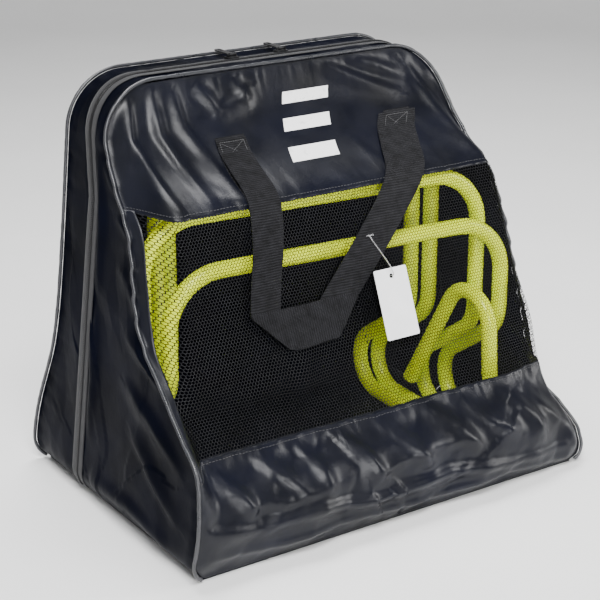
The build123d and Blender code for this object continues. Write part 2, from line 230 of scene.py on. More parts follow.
# --- wrinkles ----------------------------------------------------------------
UPPER_FOLDS = [
    ([(-196, 452), (-206, 420), (-200, 385), (-196, 352)], 7, 7, 0.3),
    ([(-166, 458), (-172, 420), (-164, 392), (-156, 356)], 8, 9, -0.2),
    ([(-138, 460), (-140, 425), (-128, 398), (-118, 360)], 9, 8, 0.3),
    ([(-112, 462), (-96, 446), (-88, 430)], 9, 6, 0.0),
    ([(-60, 464), (-52, 450), (-48, 438)], 7, 4, 0.0),
    ([(-88, 432), (-64, 440), (-40, 452)], 9, 5, 0.4),
    ([(60, 466), (92, 452), (128, 436), (160, 424)], 9, 5, 0.3),
    ([(100, 468), (140, 456), (178, 440)], 8, 5, 0.0),
    ([(182, 452), (196, 424), (208, 392), (216, 358)], 8, 6, 0.2),
    ([(160, 400), (186, 384), (214, 368)], 9, 5, 0.0),
    ([(-206, 440), (-214, 410), (-222, 380)], 6, 5, 0.0),
    ([(-60, 372), (-20, 364), (30, 358)], 8, 3, 0.0),
    ([(-150, 372), (-130, 362), (-104, 357)], 7, 4, 0.0),
    ([(40, 400), (66, 384), (84, 362)], 9, 4, 0.2),
]
LOWER_FOLDS = [
    ([(-262, 60), (-200, 48), (-120, 52), (-40, 40), (60, 46), (150, 34), (240, 30)], 8, 9, 0.3),
    ([(-250, 28), (-160, 20), (-60, 24), (40, 18), (140, 20), (250, 14)], 6, 6, 0.0),
    ([(-230, 104), (-206, 84), (-196, 62)], 9, 8, 0.2),
    ([(-180, 112), (-150, 92), (-128, 70)], 10, 8, -0.2),
    ([(-120, 110), (-104, 90), (-100, 66)], 9, 7, 0.0),
    ([(-70, 112), (-44, 88), (-30, 62)], 10, 8, 0.3),
    ([(-10, 110), (20, 84), (34, 58)], 9, 7, 0.0),
    ([(50, 112), (84, 92), (110, 60)], 10, 8, 0.2),
    ([(110, 108), (136, 84), (170, 66)], 10, 8, 0.0),
    ([(170, 104), (196, 80), (204, 56)], 9, 7, 0.2),
    ([(200, 100), (226, 74), (246, 52)], 8, 6, 0.0),
    ([(-40, 70), (40, 80), (100, 74)], 7, 5, 0.0),
    ([(-200, 76), (-150, 66), (-110, 74)], 8, 6, 0.0),
]
MESH_FOLDS = [
    ([(-200, 150), (-120, 176), (-40, 158)], 16, 4, 0.2),
    ([(-160, 220), (-80, 190), (0, 180)], 18, 4, 0.0),
    ([(0, 150), (70, 170), (150, 160)], 16, 4, 0.0),
    ([(-120, 140), (-90, 170), (-84, 206)], 14, 4, 0.0),
]


def seam_puckers(x, z, seam_z, seed, reach=0.016, height=1.3):
    d = np.abs(z - seam_z)
    wave = noise(x / 0.011, z * 0 + seed * 1.7, seed) * 0.6 + noise(x / 0.005, z * 0 + seed, seed + 5) * 0.4
    return height * MM * wave * np.exp(-((d / reach) ** 1.3))


def front_out(x, z):
    """How far the front cloth stands out of the plain surface."""
    x, z = np.asarray(x, float), np.asarray(z, float)
    x, z = np.broadcast_arrays(x, z)
    up = smooth(z, TOP_SEAM_Z - 0.004, TOP_SEAM_Z + 0.010)
    low = 1 - smooth(z, LOW_SEAM_Z - 0.010, LOW_SEAM_Z + 0.004)
    mesh = (1 - up) * (1 - low)
    total = np.zeros(x.shape)
    for run, width, height, lean in UPPER_FOLDS:
        total += up * fold(x, z, run, width, height, lean)
    for run, width, height, lean in LOWER_FOLDS:
        total += low * fold(x, z, run, width, height, lean)
    for run, width, height, lean in MESH_FOLDS:
        total += mesh * fold(x, z, run, width, height, lean)
    u, v = turned(x, z, 28)
    crumple = facets(u / 0.060, v / 0.034, 31) * 3.6 + facets(u / 0.027, v / 0.017, 34) * 1.3
    crumple = crumple + ridged(u / 0.12, v / 0.07, 36, 2) * 1.1
    total += low * crumple * MM
    p, q = turned(x, z, -35)
    corner = 0.35 + 0.65 * smooth(np.abs(x - 0.02), 0.07, 0.16)
    soft = facets(p / 0.070, q / 0.045, 44) * 2.0 + facets(p / 0.030, q / 0.020, 47) * 0.6
    total += up * soft * corner * MM
    total += mesh * fbm(x / 0.09, z / 0.07, 61, 3) * 1.2 * MM
    total += seam_puckers(x, z, TOP_SEAM_Z, 3) + seam_puckers(x, z, LOW_SEAM_Z, 4, 0.02, 1.8)
    total += seam_puckers(x, z, TOP_Z, 5, 0.02, 1.6)
    inside = np.minimum(x - edge_x(z, -1), edge_x(z, 1) - x)
    total *= smooth(inside, 0.0, 0.014)
    total *= smooth(z, 0.0, 0.012) * smooth(TOP_Z - z, 0.0, 0.010)
    quiet = np.exp(-(((x - 0.02) / 0.05) ** 4) - ((z - 0.405) / 0.055) ** 4)
    return total * (1 - 0.75 * quiet)


def front_y(x, z):
    return sample(FRONT_FIELD, x, z) - front_out(x, z)


def front_point(x, z, lift=0.0):
    """A point on the front cloth, moved out by lift along the surface's normal."""
    e = 1.5 * MM
    y = front_y(x, z)
    gx = (front_y(x + e, z) - front_y(x - e, z)) / (2 * e)
    gz = (front_y(x, z + e) - front_y(x, z - e)) / (2 * e)
    n = np.stack([gx, -np.ones_like(gx), gz], -1)
    n /= np.linalg.norm(n, axis=-1, keepdims=True)
    lift = np.asarray(lift, float)
    return np.stack([x + 0 * y, y, z + 0 * y], -1) + n * (lift[..., None] if lift.ndim else lift)


def back_out(x, z):
    x, z = np.broadcast_arrays(np.asarray(x, float), np.asarray(z, float))
    large = facets(*turned(x / 0.085, z / 0.065, 25), 71) * 3.2
    total = (large + facets(*turned(x / 0.04, z / 0.03, -20), 75)) * MM
    for x0, lean in [(-190, 30), (-120, -20), (-40, 12), (60, -18), (140, 26), (200, -30)]:
        total += fold(x, z, [(x0, 455), (x0 + lean, 400), (x0 + lean * 2, 330)], 9, 4.5, 0.2)
        total += fold(x, z, [(x0 + 20, 12), (x0 - lean, 60), (x0 - lean * 2, 120)], 10, 5, -0.2)
    total += seam_puckers(x, z, TOP_Z, 9, 0.02, 1.6)
    inside = np.minimum(x - edge_x(z, -1), edge_x(z, 1) - x)
    return total * smooth(inside, 0, 0.014) * smooth(z, 0.0, 0.012) * smooth(TOP_Z - z, 0, 0.010)


def back_y(x, z):
    return sample(BACK_FIELD, x, z) + back_out(x, z)


# --- mesh building -----------------------------------------------------------
def make_object(name, points, faces, uvs=None, smooth_shade=True):
    mesh = bpy.data.meshes.new(name)
    mesh.from_pydata([tuple(p) for p in points], [], [tuple(int(i) for i in f) for f in faces])
    mesh.update()
    if uvs is not None:
        layer = mesh.uv_layers.new(name="cloth")
        loops = np.zeros(len(mesh.loops), int)
        mesh.loops.foreach_get("vertex_index", loops)
        layer.data.foreach_set("uv", np.asarray(uvs, np.float32)[loops].ravel())
    if smooth_shade:
        mesh.polygons.foreach_set("use_smooth", [True] * len(mesh.polygons))
    obj = bpy.data.objects.new(name, mesh)
    bpy.context.scene.collection.objects.link(obj)
    return obj


def grid_faces(nu, nv, flip=False):
    i, j = np.meshgrid(np.arange(nu - 1), np.arange(nv - 1), indexing="ij")
    a = (i * nv + j).ravel()
    quad = np.stack([a, a + nv, a + nv + 1, a + 1], 1)
    return quad[:, ::-1] if flip else quad


def grid_object(name, points, uvs, flip=False):
    nu, nv = points.shape[:2]
    return make_object(name, points.reshape(-1, 3), grid_faces(nu, nv, flip), uvs.reshape(-1, 2))


def thicken(obj, amount):
    solid = obj.modifiers.new("thickness", "SOLIDIFY")
    solid.thickness = amount
    solid.offset = -1.0


def even_rows(z_high, z_low, step):
    """Heights that step evenly along the cloth between two seams, and the run's length."""
    fine = np.linspace(z_high, z_low, 900)
    gone = np.r_[0, np.cumsum(np.hypot(np.diff(sample(FRONT_FIELD, 0 * fine, fine)), np.diff(fine)))]
    count = int(gone[-1] / step) + 2
    return np.interp(np.linspace(0, gone[-1], count), gone, fine), gone[-1]


def spread(rows, step):
    """A grid of x and z between the bag's left and right edges on every row."""
    left, right = edge_x(rows, -1), edge_x(rows, 1)
    across = np.linspace(0, 1, int((right - left).max() / step))[:, None]
    x = left + (right - left) * across
    return x, np.broadcast_to(rows, x.shape)


def cloth(name, points, uvs, body, stands_for, material, thick=0.8, flip=False):
    obj = grid_object(name, points, uvs, flip)
    thicken(obj, thick * MM)
    obj.data.materials.append(material)
    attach(obj, body)
    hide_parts(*stands_for)


# --- materials ---------------------------------------------------------------
class Paint:
    """A Principled material built up from small node chains."""

    def __init__(self, name, **sockets):
        self.mat = bpy.data.materials.new(name)
        self.mat.use_nodes = True
        self.tree = self.mat.node_tree
        self.shader = self.tree.nodes["Principled BSDF"]
        for key, value in sockets.items():
            self.shader.inputs[key.replace("_", " ")].default_value = value
        self.bump_tail = None

    def node(self, kind, **values):
        n = self.tree.nodes.new(kind)
        for key, value in values.items():
            setattr(n, key, value)
        return n

    def link(self, a, b):
        self.tree.links.new(a, b)

    def coords(self, kind="Object"):
        return self.node("ShaderNodeTexCoord").outputs[kind]

    def noise(self, scale, detail=4, distortion=0.0):
        n = self.node("ShaderNodeTexNoise")
        n.inputs["Scale"].default_value = scale
        n.inputs["Detail"].default_value = detail
        n.inputs["Distortion"].default_value = distortion
        self.link(self.coords(), n.inputs["Vector"])
        return n.outputs["Fac"]

    def waves(self, period, axis="X", kind="Object", distortion=0.0):
        n = self.node("ShaderNodeTexWave", bands_direction=axis)
        n.inputs["Scale"].default_value = math.pi / 10 / period
        n.inputs["Distortion"].default_value = distortion
        self.link(self.coords(kind), n.inputs["Vector"])
        return n.outputs["Fac"]

    def both(self, a, b, operation="MULTIPLY"):
        n = self.node("ShaderNodeMath", operation=operation)
        self.link(a, n.inputs[0])
        self.link(b, n.inputs[1])
        return n.outputs[0]

    def colour(self, factor, stops):
        ramp = self.node("ShaderNodeValToRGB")
        band = ramp.color_ramp
        while len(band.elements) < len(stops):
            band.elements.new(0.5)
        for element, (spot, rgb) in zip(band.elements, stops):
            element.position = spot
            element.color = (*rgb, 1)
        self.link(factor, ramp.inputs["Fac"])
        self.link(ramp.outputs["Color"], self.shader.inputs["Base Color"])

    def ranged(self, factor, socket, low, high):
        n = self.node("ShaderNodeMapRange")
        n.inputs["From Min"].default_value = 0.3
        n.inputs["From Max"].default_value = 0.7
        n.inputs["To Min"].default_value = low
        n.inputs["To Max"].default_value = high
        self.link(factor, n.inputs["Value"])
        self.link(n.outputs["Result"], self.shader.inputs[socket])

    def bump(self, height, distance, strength=1.0):
        n = self.node("ShaderNodeBump")
        n.inputs["Distance"].default_value = distance
        n.inputs["Strength"].default_value = strength
        self.link(height, n.inputs["Height"])
        if self.bump_tail:
            self.link(self.bump_tail, n.inputs["Normal"])
        self.bump_tail = n.outputs["Normal"]
        self.link(self.bump_tail, self.shader.inputs["Normal"])


def nylon_paint(name, dark, light, rough, crinkle, gloss):
    p = Paint(name, IOR=1.45, Specular_IOR_Level=gloss)
    p.colour(p.noise(14, 5), [(0.3, dark), (0.72, light)])
    p.ranged(p.noise(34, 4), "Roughness", *rough)
    weave = p.both(p.waves(0.55 * MM, "X", "UV"), p.waves(0.55 * MM, "Y", "UV"))
    p.bump(weave, 0.05 * MM, 0.35)
    p.bump(p.noise(120, 5, 1.0), crinkle * MM, 0.4)
    p.bump(p.noise(330, 3, 0.6), 0.10 * MM, 0.4)
    return p.mat


NYLON = nylon_paint(
    "black_nylon", (0.0012, 0.0016, 0.0036), (0.0030, 0.0038, 0.0095), (0.29, 0.41), 0.45, 0.33,
)
# The same black nylon for the side walls, back and bottom, with a darker colour as painted shade and almost
# no gloss.
NYLON_PAINTED_SHADE = nylon_paint(
    "black_nylon_painted_shade", (0.0010, 0.0013, 0.0030), (0.0024, 0.0030, 0.0075), (0.36, 0.48), 0.45, 0.03,
)

piping = Paint("piping", Roughness=0.3, IOR=1.5, Specular_IOR_Level=0.7)
piping.colour(piping.noise(60, 3), [(0.3, (0.010, 0.011, 0.014)), (0.7, (0.020, 0.021, 0.026))])
piping.ranged(piping.noise(90, 3), "Roughness", 0.26, 0.42)
piping.bump(piping.waves(1.1 * MM, "DIAGONAL", "UV"), 0.12 * MM, 0.6)
piping.bump(piping.noise(300, 3), 0.2 * MM, 0.5)
PIPING = piping.mat

net = Paint("mesh_thread", Roughness=0.5, IOR=1.45, Specular_IOR_Level=0.22)
net.colour(net.noise(30, 3), [(0.3, (0.0015, 0.0016, 0.0024)), (0.7, (0.0045, 0.0048, 0.0070))])
net.ranged(net.noise(120, 2), "Roughness", 0.42, 0.6)
net.bump(net.noise(1800, 3), 0.1 * MM, 0.5)
NET = net.mat

web = Paint("webbing", IOR=1.45, Specular_IOR_Level=0.15)
web.ranged(web.noise(200, 3), "Roughness", 0.52, 0.72)
rib_height_and_groove_shade = web.waves(2.9 * MM, "Y", "UV", distortion=0.5)
rib_height_and_groove_shade = web.both(rib_height_and_groove_shade, web.waves(1.3 * MM, "X", "UV", distortion=0.4), "ADD")
# The colour follows the rib height, dark in the grooves and light on the crests: painted shade, mixed with
# random tone from the noise.
web.colour(web.both(rib_height_and_groove_shade, web.noise(90, 4)), [(0.2, (0.0005, 0.0005, 0.0008)), (0.85, (0.016, 0.016, 0.019))])
web.bump(rib_height_and_groove_shade, 0.5 * MM, 1.0)
web.bump(web.noise(2200, 3), 0.1 * MM, 0.5)
WEB = web.mat

tape = Paint("zip_tape", Roughness=0.75, Sheen_Weight=0.1, Specular_IOR_Level=0.35)
tape.colour(tape.noise(80, 3), [(0.3, (0.008, 0.008, 0.010)), (0.7, (0.016, 0.016, 0.018))])
tape.bump(tape.both(tape.waves(0.8 * MM, "X", "UV"), tape.waves(0.8 * MM, "Y", "UV")), 0.15 * MM, 0.7)
TAPE = tape.mat

coil = Paint("zip_coil", Roughness=0.35, IOR=1.5)
coil.colour(coil.noise(150, 2), [(0.3, (0.007, 0.007, 0.008)), (0.7, (0.015, 0.015, 0.017))])
coil.bump(coil.noise(900, 2), 0.1 * MM, 0.5)
COIL = coil.mat

metal = Paint("zip_metal", Roughness=0.35, Metallic=0.8)
metal.colour(metal.noise(120, 4), [(0.35, (0.020, 0.020, 0.022)), (0.8, (0.10, 0.10, 0.105))])
metal.ranged(metal.noise(400, 4), "Roughness", 0.28, 0.5)
metal.bump(metal.noise(900, 3), 0.08 * MM, 0.5)
METAL = metal.mat

# Glossy yellow-green tube plastic with a weak emission: the glow is painted light that brightens the tubes
# behind the mesh.
yellow = Paint(
    "yellow_tube_painted_glow", Emission_Color=(0.56, 0.64, 0.0, 1), Emission_Strength=0.16,
    IOR=1.48, Coat_Weight=0.1, Coat_Roughness=0.2, Specular_IOR_Level=0.4,
)
yellow.colour(yellow.noise(9, 5), [(0.3, (0.68, 0.80, 0.0)), (0.7, (0.78, 0.90, 0.0))])
yellow.ranged(yellow.noise(45, 5), "Roughness", 0.24, 0.38)
yellow.bump(yellow.noise(55, 4), 0.35 * MM, 0.5)
yellow.bump(yellow.noise(1100, 2), 0.03 * MM, 0.4)
YELLOW_PAINTED_GLOW = yellow.mat

cap = Paint("end_cap", Roughness=0.5, IOR=1.48)
cap.colour(cap.noise(60, 4), [(0.3, (0.010, 0.010, 0.010)), (0.75, (0.024, 0.024, 0.024))])
cap.bump(cap.noise(1300, 3), 0.1 * MM, 0.6)
CAP = cap.mat

card = Paint("tag_card", Roughness=0.42, IOR=1.47, Specular_IOR_Level=0.4)
card.colour(card.noise(40, 5), [(0.3, (0.78, 0.785, 0.80)), (0.75, (0.86, 0.86, 0.87))])
card.ranged(card.noise(70, 3), "Roughness", 0.36, 0.5)
card.bump(card.noise(1500, 4), 0.05 * MM, 0.4)
card.bump(card.noise(18, 2), 0.5 * MM, 0.3)
CARD = card.mat

clear = Paint("tag_plastic", Roughness=0.25, IOR=1.46, Transmission_Weight=0.85)
clear.colour(clear.noise(200, 2), [(0.3, (0.70, 0.71, 0.72)), (0.7, (0.80, 0.80, 0.80))])
clear.bump(clear.noise(700, 2), 0.05 * MM, 0.3)
CLEAR = clear.mat

white = Paint("white_print", Roughness=0.55, IOR=1.45, Specular_IOR_Level=0.35)
white.colour(white.noise(120, 6), [(0.22, (0.60, 0.60, 0.61)), (0.42, (0.83, 0.83, 0.83))])
weave = white.both(white.waves(0.55 * MM, "X"), white.waves(0.55 * MM, "Z"))
white.bump(weave, 0.05 * MM, 0.5)
white.bump(white.noise(70, 6, 1.4), 0.9 * MM, 0.4)
WHITE = white.mat

thread = Paint("thread", Roughness=0.5, Sheen_Weight=0.2)
thread.colour(thread.noise(300, 2), [(0.3, (0.012, 0.012, 0.014)), (0.7, (0.026, 0.026, 0.030))])
thread.bump(thread.waves(0.4 * MM, "DIAGONAL"), 0.08 * MM, 0.8)
THREAD = thread.mat


def repaint(names, material):
    for name in names:
        slots = nodes[name].data.materials
        slots.clear()
        slots.append(material)


# Only the CAD nodes that stay visible. The soft ones are replaced further down.
repaint([n for n in nodes if n.startswith("hurdle_") and n.endswith("_tube")], YELLOW_PAINTED_GLOW)
repaint([n for n in nodes if n.startswith("hurdle_") and n.endswith("_caps")], CAP)
repaint([n for n in nodes if n.startswith(("zipper_slider", "zipper_pull", "zipper_end"))], METAL)
repaint(["swing_tag"], CARD)
repaint(["tag_fastener"], CLEAR)


# --- front and back panels ---------------------------------------------------
ROW_STEP = 2.6 * MM


def front_cloth(name, z_high, z_low, node):
    rows, length = even_rows(z_high, z_low, ROW_STEP)
    x, z = spread(rows, ROW_STEP)
    points = np.stack([x, front_y(x, z), z], -1)
    down = np.broadcast_to(np.linspace(0, -length, len(rows)), x.shape)
    cloth(name, points, np.stack([x, down], -1), "front_cover", [node], NYLON, flip=True)


front_cloth("front_upper_cloth", TOP_Z, TOP_SEAM_Z, "front_upper_panel")
front_cloth("front_lower_cloth", LOW_SEAM_Z, 1.5 * MM, "front_lower_panel")


def back_cloth():
    rows = np.linspace(TOP_Z, 0.4 * MM, 150)
    x, z = spread(rows, 3.2 * MM)
    points = np.stack([x, back_y(x, z), z], -1)
    cloth("back_cloth", points, np.stack([x, z], -1), "bag_back", ["back_panel"], NYLON_PAINTED_SHADE)


back_cloth()


def bottom_cloth():
    x = np.linspace(-0.258, 0.258, 160)[:, None] + np.zeros((1, 110))
    front, rear = sample(FRONT_FIELD, x, 0 * x), sample(BACK_FIELD, x, 0 * x)
    across = np.linspace(0, 1, 110)[None, :]
    y = front + 0.3 * MM + (rear - front - 0.6 * MM) * across
    rim = np.minimum(smooth(across, 0, 0.06), smooth(1 - across, 0, 0.06))
    rim = rim * smooth(0.256 - np.abs(x), 0, 0.02)
    z = 0.3 * MM + rim * (0.9 + 0.45 * fbm(x / 0.07, y / 0.06, 91, 3)) * MM
    points = np.stack([x, y, np.clip(z, 0.2 * MM, 1.9 * MM)], -1)
    uvs = np.stack([x, y], -1)
    cloth("bottom_cloth", points, uvs, "bag_back", ["bottom_panel"], NYLON_PAINTED_SHADE, 0.6, True)


bottom_cloth()

# --- gusset strips -----------------------------------------------------------
TANGENT = np.gradient(OUTLINE, axis=0)
TANGENT /= np.linalg.norm(TANGENT, axis=1, keepdims=True)
NORMAL = np.c_[-TANGENT[:, 1], TANGENT[:, 0]]
EDGE_IN = np.array([0.5 * MM * np.sign(-p[0]) for p in OUTLINE])
FRONT_EDGE = sample(FRONT_FIELD, OUTLINE[:, 0] + EDGE_IN, OUTLINE[:, 1])
BACK_EDGE = sample(BACK_FIELD, OUTLINE[:, 0] + EDGE_IN, OUTLINE[:, 1])
ZIP_EDGE = zip_y(OUTLINE[:, 1])

SIDE_FOLDS = [
    ([(60, -150), (90, -90), (120, -40)], 10, 5, 0.3),
    ([(120, -140), (150, -80), (172, -20)], 11, 6, -0.2),
    ([(190, -120), (205, -70), (230, -10)], 10, 5, 0.2),
    ([(250, -96), (262, -50), (290, 10)], 10, 5, 0.0),
    ([(310, -76), (330, -30), (350, 30)], 10, 5, 0.2),
    ([(360, -30), (372, 10), (392, 50)], 9, 5, 0.0),
    ([(400, 0), (415, 35), (430, 70)], 8, 4, 0.0),
    ([(30, -120), (40, -40), (36, 40)], 9, 5, 0.0),
    ([(90, 60), (150, 56), (230, 64)], 8, 4, 0.0),
    ([(260, 60), (330, 60), (400, 72)], 8, 4, 0.0),
]


def side_out(s, y, seed):
    """Wrinkles of a side wall: s along the outline, y front to back, the same kind of folds on both sides."""
    large = facets(*turned(s / 0.085, y / 0.06, 32), seed) * 2.3
    total = (large + facets(*turned(s / 0.038, y / 0.028, -25), seed + 4) * 0.8) * MM
    length = OUT_S[-1]
    for run, width, height, lean in SIDE_FOLDS:
        total += fold(s, y, run, width, height, lean)
        total += fold(length - s - 0.02, y + 0.01, run, width, height, -lean)
    return total


def side_strip(name, edge, zip_gap, seed, body, stands_for, count, flip):
    across = np.linspace(0, 1, count)[None, :]
    y_zip = (ZIP_EDGE + zip_gap)[:, None]
    y = edge[:, None] + (y_zip - edge[:, None]) * across
    s = np.broadcast_to(OUT_S[:, None], y.shape)
    room = np.abs(y_zip - edge[:, None])
    gap = np.minimum(across, 1 - across) * room
    hold = smooth(gap, 0, 0.016) * smooth(np.minimum(s, OUT_S[-1] - s), 0, 0.03)
    pucker = noise(s / 0.010, y * 0, seed + 9) * 1.4 * MM * np.exp(-(((across * room) / 0.018) ** 1.3))
    out = np.clip(side_out(s, y, seed) * hold, -2.5 * MM, 8 * MM) + pucker * smooth(across * room, 0, 0.004)
    x = OUTLINE[:, 0, None] + NORMAL[:, 0, None] * out
    z = OUTLINE[:, 1, None] + NORMAL[:, 1, None] * out
    points = np.stack([x, y, np.maximum(z, 0.4 * MM)], -1)
    cloth(name, points, np.stack([s, y], -1), body, stands_for, NYLON_PAINTED_SHADE, flip=flip)


side_strip(
    "front_gusset_cloth", FRONT_EDGE, -1.5 * MM, 101, "front_cover",
    ["front_gusset_left", "front_gusset_top", "front_gusset_right"], 90, False,
)
side_strip(
    "back_gusset_cloth", BACK_EDGE, 1.5 * MM, 131, "bag_back",
    BACK_GUSSETS, 44, True,
)


# --- piping ------------------------------------------------------------------
def tube_mesh(name, path, radius, sides, material, body, stands_for):
    tangent = np.gradient(path, axis=0)
    tangent /= np.linalg.norm(tangent, axis=1, keepdims=True)
    side = np.cross(tangent, (0, 1, 0))
    side /= np.linalg.norm(side, axis=1, keepdims=True)
    up = np.cross(side, tangent)
    angle = np.linspace(0, 2 * np.pi, sides + 1)
    size = radius * (1 + 0.10 * noise(np.arange(len(path)) / 3.1, np.zeros(len(path)), 17))
    ring = np.cos(angle)[None, :, None] * side[:, None] + np.sin(angle)[None, :, None] * up[:, None]
    points = path[:, None] + ring * size[:, None, None]
    gone = np.r_[0, np.cumsum(np.linalg.norm(np.diff(path, axis=0), axis=1))]
    uvs = np.stack(np.broadcast_arrays(gone[:, None], (angle * radius)[None, :]), -1)
    obj = grid_object(name, points, uvs)
    obj.data.materials.append(material)
    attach(obj, body)
    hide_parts(*stands_for)
    return obj


def piping_run(name, edge, way, body, node):
    keep = OUTLINE[:, 1] > 4 * MM
    first, last = np.flatnonzero(keep)[[0, -1]]
    spots = slice(first, last + 1)
    flat = OUTLINE + NORMAL * 1.9 * MM
    y = edge + way * 1.7 * MM
    path = np.stack([flat[spots, 0], y[spots], flat[spots, 1]], -1)
    tube_mesh(name, path, 2.1 * MM, 10, PIPING, body, [node])


piping_run("front_piping_cord", FRONT_EDGE, -1, "front_cover", "front_piping")
piping_run("back_piping_cord", BACK_EDGE, 1, "bag_back", "back_piping")


# --- zip ---------------------------------------------------------------------
ZIP_SPOTS = OUTLINE[:, 1] > 8 * MM


def zip_band(name, near, far, lift, body, node, flip):
    spots = np.flatnonzero(ZIP_SPOTS)
    spots = slice(spots[0], spots[-1] + 1)
    across = np.linspace(0, 1, 7)[None, :]
    y = ZIP_EDGE[spots, None] + near + (far - near) * across
    out = lift + 0.25 * MM * np.sin(across * np.pi) + 0 * y
    x = OUTLINE[spots, 0, None] + NORMAL[spots, 0, None] * out
    z = OUTLINE[spots, 1, None] + NORMAL[spots, 1, None] * out
    uvs = np.stack([OUT_S[spots, None] + 0 * y, y], -1)
    obj = grid_object(name, np.stack([x, y, z], -1), uvs, flip)
    thicken(obj, 0.5 * MM)
    obj.data.materials.append(TAPE)
    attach(obj, body)
    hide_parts(node)


zip_band("front_zip_tape", -12 * MM, -0.3 * MM, 0.9 * MM, "front_cover", "zipper_tape_front", False)
zip_band("back_zip_tape", 12 * MM, 0.3 * MM, 0.9 * MM, "bag_back", "zipper_tape_back", True)


def blocks(name, spots, half, material, body, stands_for):
    """Small bevelled blocks: each spot is a centre and three unit directions."""
    shape = []
    for level, pinch in ((-1, 1.0), (0.35, 1.0), (1, 0.62)):
        shape += [(a * pinch, b * pinch, level) for a, b in ((-1, -1), (1, -1), (1, 1), (-1, 1))]
    shape = np.array(shape) * half
    faces = [(3, 2, 1, 0), (8, 9, 10, 11)]
    for base in (0, 4):
        faces += [(base + k, base + (k + 1) % 4, base + 4 + (k + 1) % 4, base + 4 + k) for k in range(4)]
    points, quads = [], []
    for centre, a, b, c in spots:
        start = len(points)
        points += list(centre + shape[:, :1] * a + shape[:, 1:2] * b + shape[:, 2:] * c)
        quads += [tuple(start + i for i in face) for face in faces]
    obj = make_object(name, points, quads, smooth_shade=False)
    obj.data.materials.append(material)
    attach(obj, body)
    if stands_for:
        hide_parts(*stands_for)
    return obj


def teeth(name, offset, body, node):
    low = OUT_S[np.flatnonzero(OUTLINE[:, 1] > 14 * MM)[0]]
    high = OUT_S[np.flatnonzero(OUTLINE[:, 1] > 14 * MM)[-1]]
    spots = []
    for s in np.arange(low, high, 2.1 * MM):
        p = np.array([np.interp(s, OUT_S, OUTLINE[:, k]) for k in (0, 1)])
        n = np.array([np.interp(s, OUT_S, NORMAL[:, k]) for k in (0, 1)])
        y = zip_y(p[1]) + offset
        out = np.array((n[0], 0, n[1]))
        along = np.array((n[1], 0, -n[0]))
        spots.append((np.array((p[0], y, p[1])) + out * 1.9 * MM, along, np.array((0, 1.0, 0)), out))
    blocks(name, spots, np.array((0.75, 1.5, 0.75)) * MM, COIL, body, [node])


teeth("front_zip_teeth", -1.2 * MM, "front_cover", "zipper_coil_front")
teeth("back_zip_teeth", 1.2 * MM, "bag_back", "zipper_coil_back")


# --- mesh window -------------------------------------------------------------
OPEN_SHARE = 0.82  # how far each cell's hole reaches towards its corners
THREAD_LIFT = 0.15  # mm, the ridge along the middle of a thread


def mesh_window():
    pitch = 3.8 * MM
    fine = np.linspace(TOP_SEAM_Z + 1 * MM, LOW_SEAM_Z - 1 * MM, 1200)
    gone = np.r_[0, np.cumsum(np.hypot(np.diff(sample(FRONT_FIELD, 0 * fine, fine)), np.diff(fine)))]
    row = pitch * math.sqrt(3) / 2
    centres = []
    for k in range(int(gone[-1] / row) + 1):
        z = np.interp(k * row, gone, fine)
        left, right = edge_x(z, -1) + 1.5 * MM, edge_x(z, 1) - 1.5 * MM
        start = math.ceil((left + (k % 2) * pitch / 2) / pitch) * pitch - (k % 2) * pitch / 2
        for x in np.arange(start, right, pitch):
            centres.append((x, k * row))
    centres = np.array(centres)
    angles = np.radians(np.arange(30, 390, 60))
    corners = np.stack([np.cos(angles), np.sin(angles)], -1) * pitch / math.sqrt(3)
    outer = centres[:, None] + corners
    inner = centres[:, None] + corners * OPEN_SHARE
    flat = np.concatenate([outer, inner], 1)
    x, v = flat[..., 0], np.clip(flat[..., 1], 0, gone[-1])
    z = np.interp(v, gone, fine)
    lift = np.where(np.arange(12) < 6, THREAD_LIFT, 0.0)[None, :] * MM + 0 * x
    points = front_point(x, z, lift)
    base = np.arange(len(centres))[:, None, None] * 12
    quad = np.array([(k, (k + 1) % 6, 6 + (k + 1) % 6, 6 + k) for k in range(6)])[None]
    uvs = np.stack([x, v], -1).reshape(-1, 2)
    obj = make_object("mesh_window_net", points.reshape(-1, 3), (base + quad).reshape(-1, 4), uvs)
    obj.data.materials.append(NET)
    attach(obj, "front_cover")
    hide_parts("front_mesh_window")


mesh_window()


def mesh_binding(side):
    """A narrow cloth strip sewn over the mesh's cut edge, along the piping."""
    rows = np.linspace(TOP_SEAM_Z + 2 * MM, LOW_SEAM_Z - 2 * MM, 130)[None, :]
    across = np.linspace(0, 1, 6)[:, None]
    edge = edge_x(rows, side)
    x = edge - side * across * (8.5 + 1.2 * noise(rows / 0.03, rows * 0, 64 + side)) * MM
    z = np.broadcast_to(rows, x.shape)
    points = front_point(x, z, (0.7 + 0.3 * np.sin(across * np.pi)) * MM + 0 * x)
    name = "mesh_binding_" + ("left" if side < 0 else "right")
    obj = grid_object(name, points, np.stack([x, z], -1), side > 0)
    thicken(obj, 0.5 * MM)
    obj.data.materials.append(NYLON)
    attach(obj, "front_cover")


mesh_binding(-1)
mesh_binding(1)


# --- stitches ----------------------------------------------------------------
def stitch_row(name, path, normals, pitch, length, body):
    gone = np.r_[0, np.cumsum(np.linalg.norm(np.diff(path, axis=0), axis=1))]
    spots = []
    for s in np.arange(pitch / 2, gone[-1], pitch):
        p = np.array([np.interp(s, gone, path[:, k]) for k in range(3)])
        q = np.array([np.interp(s + 0.5 * MM, gone, path[:, k]) for k in range(3)])
        along = (q - p) / max(np.linalg.norm(q - p), 1e-9)
        n = np.array([np.interp(s, gone, normals[:, k]) for k in range(3)])
        n /= np.linalg.norm(n)
        side = np.cross(n, along)
        spots.append((p + n * 0.15 * MM, along, side / np.linalg.norm(side), n))
    blocks(name, spots, np.array((length / 2 / MM, 0.35, 0.3)) * MM, THREAD, body, [])


